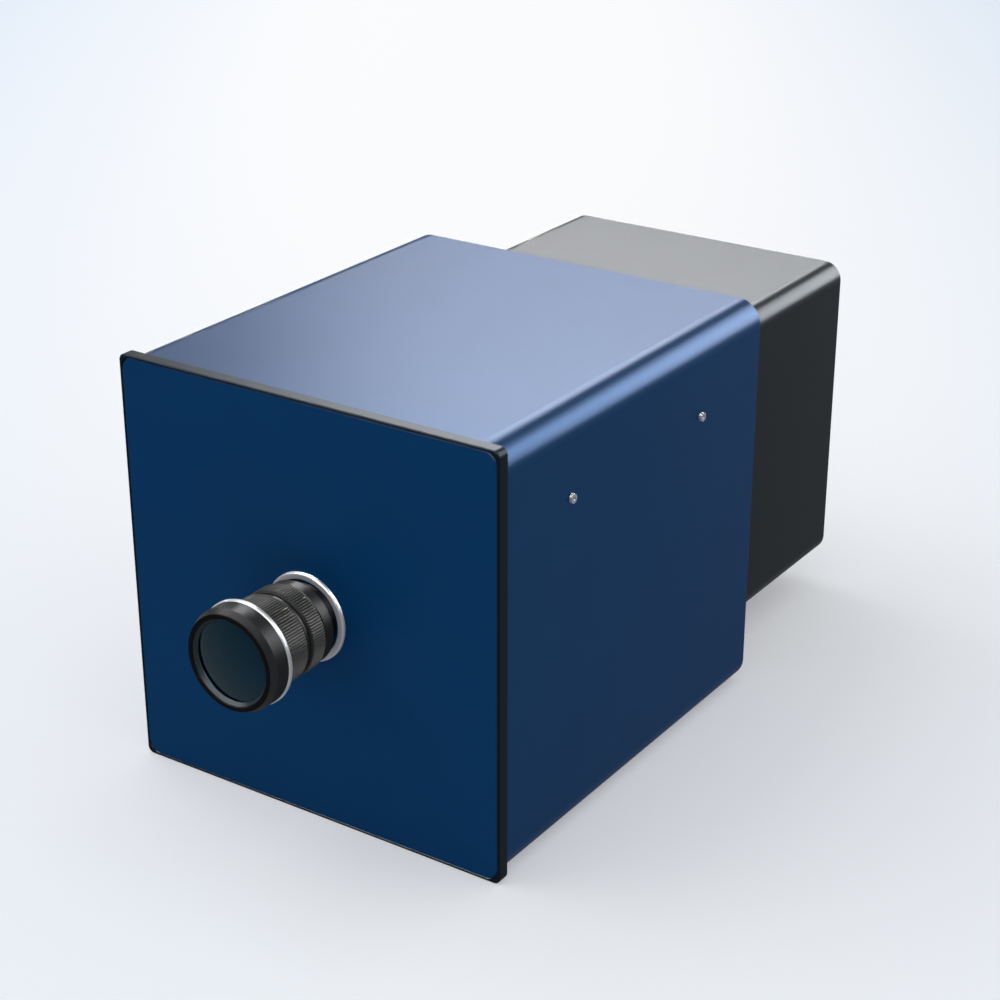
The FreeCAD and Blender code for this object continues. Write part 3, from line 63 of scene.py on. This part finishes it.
class Wire:
    """A socket that takes part in expressions: each operator adds one Math node to the finish."""

    def __init__(self, finish, socket):
        self.finish = finish
        self.socket = socket

    def math(self, operation, first, second=0.0):
        return self.finish.node("ShaderNodeMath", {"operation": operation}, {0: first, 1: second})

    def __add__(self, other):
        return self.math("ADD", self, other)

    def __radd__(self, other):
        return self.math("ADD", other, self)

    def __sub__(self, other):
        return self.math("SUBTRACT", self, other)

    def __rsub__(self, other):
        return self.math("SUBTRACT", other, self)

    def __mul__(self, other):
        return self.math("MULTIPLY", self, other)

    def __rmul__(self, other):
        return self.math("MULTIPLY", other, self)

    def __truediv__(self, other):
        return self.math("DIVIDE", self, other)

    def root(self):
        return self.math("SQRT", self)

    def sine(self):
        return self.math("SINE", self)

    def nearest_whole(self):
        return self.math("ROUND", self)

    def largest(self, other):
        return self.math("MAXIMUM", self, other)

    def above(self, level, soft):
        """0 below the level, 1 above it, with a soft step between."""
        settings = {"interpolation_type": "SMOOTHSTEP"}
        return self.finish.node("ShaderNodeMapRange", settings,
                                {0: self, 1: level - soft, 2: level + soft, 3: 0.0, 4: 1.0})


class Finish:
    """One material: node() adds any node to its tree and hands back a wire from one of its outputs."""

    def __init__(self, name):
        self.material = bpy.data.materials.new(name)
        self.material.use_nodes = True
        self.tree = self.material.node_tree
        self.tree.nodes.clear()

    def node(self, kind, settings=None, inputs=None, output=0):
        made = self.tree.nodes.new(kind)
        for key, value in (settings or {}).items():
            setattr(made, key, value)
        for key, value in (inputs or {}).items():
            if isinstance(value, Wire):
                self.tree.links.new(value.socket, made.inputs[key])
            else:
                made.inputs[key].default_value = value
        return Wire(self, made.outputs[output])

    def place(self):
        return self.node("ShaderNodeTexCoord", output="Object")

    def axis(self, letter):
        return self.node("ShaderNodeSeparateXYZ", {}, {0: self.place()}, output=letter)

    def from_lens_axis(self):
        """Distance from the lens axis, in metres."""
        across = self.axis("X")
        up = self.axis("Z") - LENS_HEIGHT
        return (across * across + up * up).root()

    def stretched(self, scale):
        return self.node("ShaderNodeMapping", {}, {"Vector": self.place(), "Scale": scale})

    def noise(self, size, detail=2.0, where=None):
        """Noise from 0 to 1 whose blotches are about as large as the size."""
        return self.node("ShaderNodeTexNoise", {},
                         {"Vector": where or self.place(), "Scale": 1 / size, "Detail": detail})

    def tint(self, factor, first, second):
        settings = {"data_type": "RGBA", "blend_type": "MIX"}
        inputs = {0: factor, 6: colour(first), 7: colour(second)}
        return self.node("ShaderNodeMix", settings, inputs, output=2)

    def relief(self, height, depth):
        return self.node("ShaderNodeBump", {}, {"Height": height, "Distance": depth, "Strength": 1.0})

    def surface(self, **sockets):
        inputs = {key.replace("_", " "): value for key, value in sockets.items()}
        shader = self.node("ShaderNodeBsdfPrincipled", {}, inputs)
        self.output(shader)
        return self.material

    def output(self, shader):
        end = self.tree.nodes.new("ShaderNodeOutputMaterial")
        self.tree.links.new(shader.socket, end.inputs["Surface"])


def colour(value):
    """A colour socket's value: four numbers, or a wire as it is."""
    if isinstance(value, Wire):
        return value
    return (*value, 1.0)


def scaled(base, factor):
    return tuple(part * factor for part in base)


# Finishes

SCRATCH_STRETCH = 0.04


def anodised(name, base, rough, metal, gloss):
    """Bead-blasted, anodised aluminium: an even grain under a dyed skin that is cloudy over large areas."""
    finish = Finish(name)
    cloud = finish.noise(45 * MM, 3.0)
    grain = finish.noise(0.35 * MM, 2.0)
    shade = cloud * 0.6 + grain * 0.4
    base_colour = finish.tint(shade, scaled(base, 0.86), scaled(base, 1.14))
    roughness = rough - 0.02 + cloud * 0.03 + grain * 0.02
    return finish.surface(Base_Color=base_colour, Roughness=roughness, Metallic=metal, Specular_IOR_Level=0.0,
                          Coat_Weight=gloss, Coat_Roughness=rough, Normal=finish.relief(grain, 0.004 * MM))


def turned(name, base, rough, pitch, **constants):
    """Lathe-turned metal: fine rings round the lens axis on its faces and along its barrels."""
    finish = Finish(name)
    travel = finish.from_lens_axis() + finish.axis("Y")
    rings = (travel * (2 * math.pi / pitch)).sine()
    cloud = finish.noise(6 * MM, 3.0)
    base_colour = finish.tint(cloud, scaled(base, 0.85), scaled(base, 1.15))
    roughness = rough - 0.03 + cloud * 0.06
    return finish.surface(Base_Color=base_colour, Roughness=roughness,
                          Normal=finish.relief(rings, 0.003 * MM), **constants)


def black_barrel(name):
    """Black anodised lens barrels: satin, but matt in the bore, round the glass and on the nose, where the
    base colour is also made much darker as painted shade.
    """
    finish = Finish(name)
    reach = finish.axis("Y") * -1
    radius = finish.from_lens_axis()
    bore = 1 - radius.above(BARREL_BORE_RADIUS, 0.1 * MM)
    glass_seat = (1 - radius.above(GLASS_SEAT_RADIUS, 0.05 * MM)) * reach.above(GLASS_SEAT_REACH, 0.1 * MM)
    glass_seat = glass_seat * (1 - reach.above(GLASS_RIM_REACH, 0.05 * MM))
    nose = reach.above(NOSE_REACH, 0.15 * MM)
    # Painted shade: where this mask is set, the base colour drops to near black in the bore, round the glass
    # and on the nose's face.
    matt_and_painted_shade = bore.largest(glass_seat).largest(nose)
    rings = ((radius + reach) * (2 * math.pi / (0.14 * MM))).sine()
    cloud = finish.noise(6 * MM, 3.0)
    satin = finish.tint(cloud, (0.017, 0.0175, 0.019), (0.023, 0.0235, 0.025))
    return finish.surface(Base_Color=finish.tint(matt_and_painted_shade, satin, (0.005, 0.005, 0.0055)),
                          Roughness=0.26 + cloud * 0.05 + matt_and_painted_shade * 0.15, Metallic=0.05, Specular_IOR_Level=0.0,
                          Coat_Weight=0.058 - matt_and_painted_shade * 0.048, Coat_Roughness=0.3,
                          Normal=finish.relief(rings, 0.003 * MM))


def knurled(name):
    """Knurled rings: paler crests with worn patches, and roots darkened as painted shade between the ribs."""
    finish = Finish(name)
    crest = finish.from_lens_axis().above(KNURL_MIDDLE_RADIUS, 0.25 * MM)
    wear = finish.noise(1.2 * MM, 3.0)
    # Painted shade: the base colour is darkest in the knurl's roots and paler on its crests; wear only varies
    # the crests' tone.
    base_colour = finish.tint(crest * (0.6 + wear * 0.4), (0.0155, 0.0153, 0.0150), (0.048, 0.0475, 0.0465))
    roughness = 0.5 - crest * 0.12 + wear * 0.08
    return finish.surface(Base_Color=base_colour, Roughness=roughness, Specular_IOR_Level=0.022,
                          Normal=finish.relief(wear, 0.006 * MM))


def coated_glass(name):
    """Glass with a coating that reflects blue-green; its dark blue-green base colour darkens what is seen
    through it, painted shade of the lens's inside, and a little dust clouds it.
    """
    finish = Finish(name)
    dust = finish.noise(2.5 * MM, 4.0)
    # Painted shade: the dark tint makes the lens's inside look dark through the glass.
    return finish.surface(Base_Color=finish.tint(dust, (0.0003, 0.05, 0.11), (0.0004, 0.055, 0.12)),
                          Roughness=0.0, Transmission_Weight=1.0, IOR=1.32,
                          Specular_Tint=(0.0, 0.6, 1.0, 1.0))


def brushed(name, base, rough, along, **constants):
    """Drawn or ground metal with fine scratches along one axis, fully metallic where nothing else is said."""
    finish = Finish(name)
    scale = [1.0, 1.0, 1.0]
    scale["XYZ".index(along)] = SCRATCH_STRETCH
    scratches = finish.noise(0.25 * MM, 3.0, finish.stretched(scale))
    cloud = finish.noise(12 * MM, 2.0)
    base_colour = finish.tint(cloud, scaled(base, 0.9), scaled(base, 1.1))
    constants.setdefault("Metallic", 1.0)
    return finish.surface(Base_Color=base_colour, Roughness=rough - 0.05 + scratches * 0.1,
                          Normal=finish.relief(scratches, 0.003 * MM), **constants)


def moulded(name, base, rough, **constants):
    """Moulded plastic with a fine spark-eroded grain."""
    finish = Finish(name)
    grain = finish.noise(0.3 * MM, 2.0)
    cloud = finish.noise(15 * MM, 2.0)
    base_colour = finish.tint(cloud, scaled(base, 0.85), scaled(base, 1.15))
    return finish.surface(Base_Color=base_colour, Roughness=rough - 0.05 + grain * 0.1,
                          Normal=finish.relief(grain, 0.012 * MM), **constants)


def socket_metal(name):
    """Nickel-plated shells round black inserts, with gilt contacts at the bottom of the inserts' holes."""
    finish = Finish(name)
    step = finish.axis("X") / SOCKET_PITCH
    across = (step - step.nearest_whole()) * SOCKET_PITCH
    up = finish.axis("Z") - SOCKET_HEIGHT
    insert = 1 - (across * across + up * up).root().above(INSERT_RADIUS, 0.05 * MM)
    contact = insert * (1 - finish.axis("Y").above(CONTACT_DEPTH, 0.1 * MM))
    cloud = finish.noise(3 * MM, 3.0)
    nickel = finish.tint(cloud, (0.19, 0.185, 0.175), (0.24, 0.235, 0.22))
    outside = finish.tint(insert, nickel, (0.012, 0.012, 0.013))
    return finish.surface(Base_Color=finish.tint(contact, outside, (0.42, 0.27, 0.07)),
                          Roughness=0.3 + cloud * 0.08 + insert * 0.1,
                          Metallic=0.35 - insert * 0.35 + contact * 0.3, Specular_IOR_Level=0.05,
                          Normal=finish.relief(cloud, 0.004 * MM))


def circuit_board(board):
    """Green solder mask with raised tracks on the board's sheet, and dark components that stand on it."""
    finish = Finish(f"{board}_solder_mask")
    sheet_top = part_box(board)[0][2] + BOARD_THICK
    component = finish.axis("Z").above(sheet_top + 0.2 * MM, 0.1 * MM)
    across_sheet = finish.stretched((1 / (9 * MM), 1 / (9 * MM), 0.0))
    tracks = finish.node("ShaderNodeTexBrick", {"offset": 0.37, "offset_frequency": 3},
                         {"Vector": across_sheet, "Scale": 1.0, "Mortar Size": 0.06}, output="Fac")
    cloud = finish.noise(8 * MM, 3.0)
    mask = finish.tint(cloud, (0.012, 0.075, 0.028), (0.018, 0.11, 0.042))
    sheet = finish.tint(tracks, mask, (0.045, 0.2, 0.07))
    return finish.surface(Base_Color=finish.tint(component, sheet, (0.014, 0.014, 0.015)),
                          Roughness=0.38 + cloud * 0.08 + component * 0.1, Specular_IOR_Level=0.05,
                          Normal=finish.relief(tracks * (1 - component), 0.03 * MM))


PANEL_BLUE = (0.0016, 0.0335, 0.1030)
HOUSING_BLUE = (0.0020, 0.0305, 0.0930)
FRAME_BLACK = (0.0062, 0.0098, 0.0138)
REAR_BLACK = (0.0095, 0.0125, 0.0150)
FINISHES = {
    "frame_black": anodised("satin_black_anodising", REAR_BLACK, 0.34, 0.22, 0.0),
    "anodised_blue": anodised("satin_blue_anodising", HOUSING_BLUE, 0.34, 0.096, 0.051),
    "silver_trim": turned("bright_turned_silver", (0.37, 0.38, 0.395), 0.3, 0.12 * MM, Metallic=0.13,
                          Specular_IOR_Level=0.0),
    "lens_black": black_barrel("turned_black_anodising"),
    "knurl_black": knurled("knurled_black_anodising"),
    "coated_glass": coated_glass("coated_optical_glass"),
    "iris_steel": brushed("blackened_spring_steel", (0.05, 0.05, 0.055), 0.42, "X"),
    "screw_steel": brushed("dull_screw_steel", (0.27, 0.275, 0.285), 0.36, "X", Metallic=0.1,
                           Specular_IOR_Level=0.0),
    "bare_aluminium": brushed("milled_aluminium", (0.34, 0.345, 0.35), 0.36, "Y", Metallic=0.0,
                              Specular_IOR_Level=0.0),
    "nut_brass": brushed("machined_brass", (0.72, 0.52, 0.22), 0.28, "X"),
    "socket_nickel": socket_metal("nickel_sockets"),
    "board_green": circuit_board("controller_board"),
    "fan_plastic": moulded("black_fan_plastic", (0.018, 0.018, 0.019), 0.48, Specular_IOR_Level=0.1),
    "button_plastic": moulded("button_plastic", (0.03, 0.03, 0.033), 0.35, Specular_IOR_Level=0.15),
    "lamp_plastic": moulded("green_lamp_plastic", (0.08, 0.5, 0.14), 0.2, Transmission_Weight=0.5),
    "sensor_ceramic": moulded("sensor_package_ceramic", (0.2, 0.2, 0.22), 0.5),
}

OWN_FINISHES = {
    "front_panel": anodised("satin_blue_panel", PANEL_BLUE, 0.35, 0.0, 0.05),
    "front_frame": anodised("satin_black_frame", FRAME_BLACK, 0.34, 0.18, 0.0),
    "power_board": circuit_board("power_board"),
}

for node_name, item in NODES.items():
    packed_slot = item.material_slots[0]
    packed_slot.material = OWN_FINISHES.get(node_name, FINISHES[packed_slot.material.name])


# Threads of the sockets and of the tripod hole

THREAD_STEPS = 24
THREAD_SINK = 0.1 * MM
FOOT_SHARE = 0.42
CREST_SHARE = 0.06
SOCKET_THREAD_LENGTH = 6.0 * MM
TRIPOD_LEAD_IN = 0.9 * MM
ACROSS, BACK, UP = Vector((1, 0, 0)), Vector((0, 1, 0)), Vector((0, 0, 1))


def screw_thread(name, slot, start, along, radius, crest, pitch, turns):
    """One ridge wound along a round wall: its foot is sunk in the wall, and its crest stands off it."""
    foot, top = radius - math.copysign(THREAD_SINK, crest), radius + crest
    corners = [(foot, -FOOT_SHARE * pitch), (top, -CREST_SHARE * pitch),
               (top, CREST_SHARE * pitch), (foot, FOOT_SHARE * pitch)]
    ridge = bmesh.new()
    rim = [ridge.verts.new(start + ACROSS * out + along * rise) for out, rise in corners]
    section = ridge.faces.new(rim)
    steps = round(turns * THREAD_STEPS)
    bmesh.ops.spin(ridge, geom=[*section.verts, *section.edges, section], cent=start, axis=along,
                   dvec=along * (turns * pitch / steps), angle=2 * math.pi * turns, steps=steps)
    bmesh.ops.recalc_face_normals(ridge, faces=ridge.faces)
    mesh = bpy.data.meshes.new(name)
    ridge.to_mesh(mesh)
    ridge.free()
    mesh.materials.append(FINISHES[slot])
    piece = bpy.data.objects.new(name, mesh)
    bpy.context.scene.collection.objects.link(piece)
    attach(piece, "housing")


def threads():
    for socket in ("power_socket", "data_socket", "trigger_socket"):
        low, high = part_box(socket)
        start = Vector(((low[0] + high[0]) / 2, high[1] - SOCKET_THREAD_LENGTH, SOCKET_HEIGHT))
        screw_thread(f"{socket}_thread", "socket_nickel", start, BACK, SOCKET_RADIUS, 0.3 * MM, 1.0 * MM, 5)
    screw_thread("tripod_hole_thread", "bare_aluminium", UP * TRIPOD_LEAD_IN, UP, TRIPOD_HOLE_RADIUS,
                 -0.4 * MM, TRIPOD_PITCH, 6)


threads()


# Floor, light and camera

LAMP_DISTANCE = 5.0
FLOOR_SIDE = 30.0
# Painted light: the floor's white pool and the bluer colour round it stand in for a pool of light and its
# fall-off.
PAINTED_POOL_WHITE = (0.99, 0.99, 1.0)
PAINTED_FALLOFF_BLUE = (0.78, 0.855, 0.95)
PAINTED_POOL_MIDDLE = Vector((-0.86, 1.30))
PAINTED_POOL_TURN = math.radians(34.0)
PAINTED_POOL_HALF_WIDTH = 0.45
PAINTED_POOL_HALF_LENGTH = 2.75
CAMERA_PLACE = (0.4828, -0.6923, 0.4752)
CAMERA_TILT_DOWN = 24.048
CAMERA_TURN = 33.989
CAMERA_LENS = 78.53


def floor():
    """A pale floor with a painted pool of light: whitest in a long pool that reaches back past the object,
    and a little bluer round it as painted fall-off of that light.
    """
    bpy.ops.mesh.primitive_plane_add(size=FLOOR_SIDE, location=(0, 0, 0))
    plane = bpy.context.object
    plane.name = "studio_floor"
    finish = Finish("pale_floor")
    x, y = finish.axis("X") - PAINTED_POOL_MIDDLE.x, finish.axis("Y") - PAINTED_POOL_MIDDLE.y
    across = (x * math.cos(PAINTED_POOL_TURN) + y * math.sin(PAINTED_POOL_TURN)) / PAINTED_POOL_HALF_WIDTH
    along = (y * math.cos(PAINTED_POOL_TURN) - x * math.sin(PAINTED_POOL_TURN)) / PAINTED_POOL_HALF_LENGTH
    # Painted light: 0 inside the pool, rising to 1 outside it, where the floor turns bluer.
    far = (across * across + along * along).root().above(0.85, 0.6)
    pale = finish.tint(far, PAINTED_POOL_WHITE, PAINTED_FALLOFF_BLUE)
    paper = finish.node("ShaderNodeBsdfDiffuse", {}, {"Color": pale})
    glow = finish.node("ShaderNodeEmission", {}, {"Color": (0.9, 0.91, 0.93, 1.0), "Strength": 1.0})
    glossy = finish.node("ShaderNodeLightPath", output="Is Glossy Ray")
    through = finish.node("ShaderNodeLightPath", output="Is Transmission Ray")
    seen = finish.node("ShaderNodeLightPath", output="Is Camera Ray")
    bright = finish.node("ShaderNodeEmission", {}, {"Color": pale, "Strength": 1.0})
    shaded = finish.node("ShaderNodeMixShader", {}, {0: seen * 0.3, 1: paper, 2: bright})
    finish.output(finish.node("ShaderNodeMixShader", {}, {0: glossy + through, 1: shaded, 2: glow}))
    plane.data.materials.append(finish.material)


def lamp_card(name, bearing, rise, width, height, brightness):
    """A lamp card far away, given by the angles it stands at and covers, in degrees."""
    lamp = bpy.data.lights.new(name, "AREA")
    lamp.shape = "RECTANGLE"
    lamp.size = 2 * LAMP_DISTANCE * math.tan(math.radians(width / 2))
    lamp.size_y = 2 * LAMP_DISTANCE * math.tan(math.radians(height / 2))
    lamp.energy = brightness * math.pi * lamp.size * lamp.size_y
    holder = bpy.data.objects.new(name, lamp)
    bpy.context.scene.collection.objects.link(holder)
    level = math.cos(math.radians(rise))
    way = Vector((level * math.sin(math.radians(bearing)), level * math.cos(math.radians(bearing)),
                  math.sin(math.radians(rise))))
    holder.location = way * LAMP_DISTANCE
    holder.rotation_euler = way.to_track_quat("Z", "Y").to_euler()
    holder.visible_camera = False
    return holder


def gloss_card(name, *card):
    """A card that shows only as a highlight, also where the object stands in between."""
    holder = lamp_card(name, *card)
    holder.visible_diffuse = False
    holder.data.use_shadow = False
    holder.data.cycles.use_multiple_importance_sampling = False


def studio_light():
    world = bpy.data.worlds.new("studio_air")
    bpy.context.scene.world = world
    world.use_nodes = True
    air = world.node_tree.nodes["Background"]
    air.inputs["Color"].default_value = (0.98, 0.99, 1.0, 1.0)
    air.inputs["Strength"].default_value = 0.77
    soft_key = lamp_card("soft_key", -100, 50.0, 50, 50, 1.15)
    soft_key.visible_glossy = False
    gloss_card("back_left_card", -28.5, 32.6, 21, 15, 74.0)
    gloss_card("back_right_card", 24.5, 17.4, 33, 31, 60.0)
    gloss_card("front_top_card", -160, 62.0, 110, 40, 32.0)
    gloss_card("low_left_card", -42, -3.0, 40, 30, 6.5)


def camera():
    lens = bpy.data.cameras.new("photo_camera")
    lens.sensor_width = 36.0
    lens.lens = CAMERA_LENS
    holder = bpy.data.objects.new("photo_camera", lens)
    bpy.context.scene.collection.objects.link(holder)
    holder.location = CAMERA_PLACE
    holder.rotation_euler = (math.radians(90 - CAMERA_TILT_DOWN), 0.0, math.radians(CAMERA_TURN))
    bpy.context.scene.camera = holder


floor()
studio_light()
camera()
bpy.context.scene.view_settings.view_transform = "Standard"
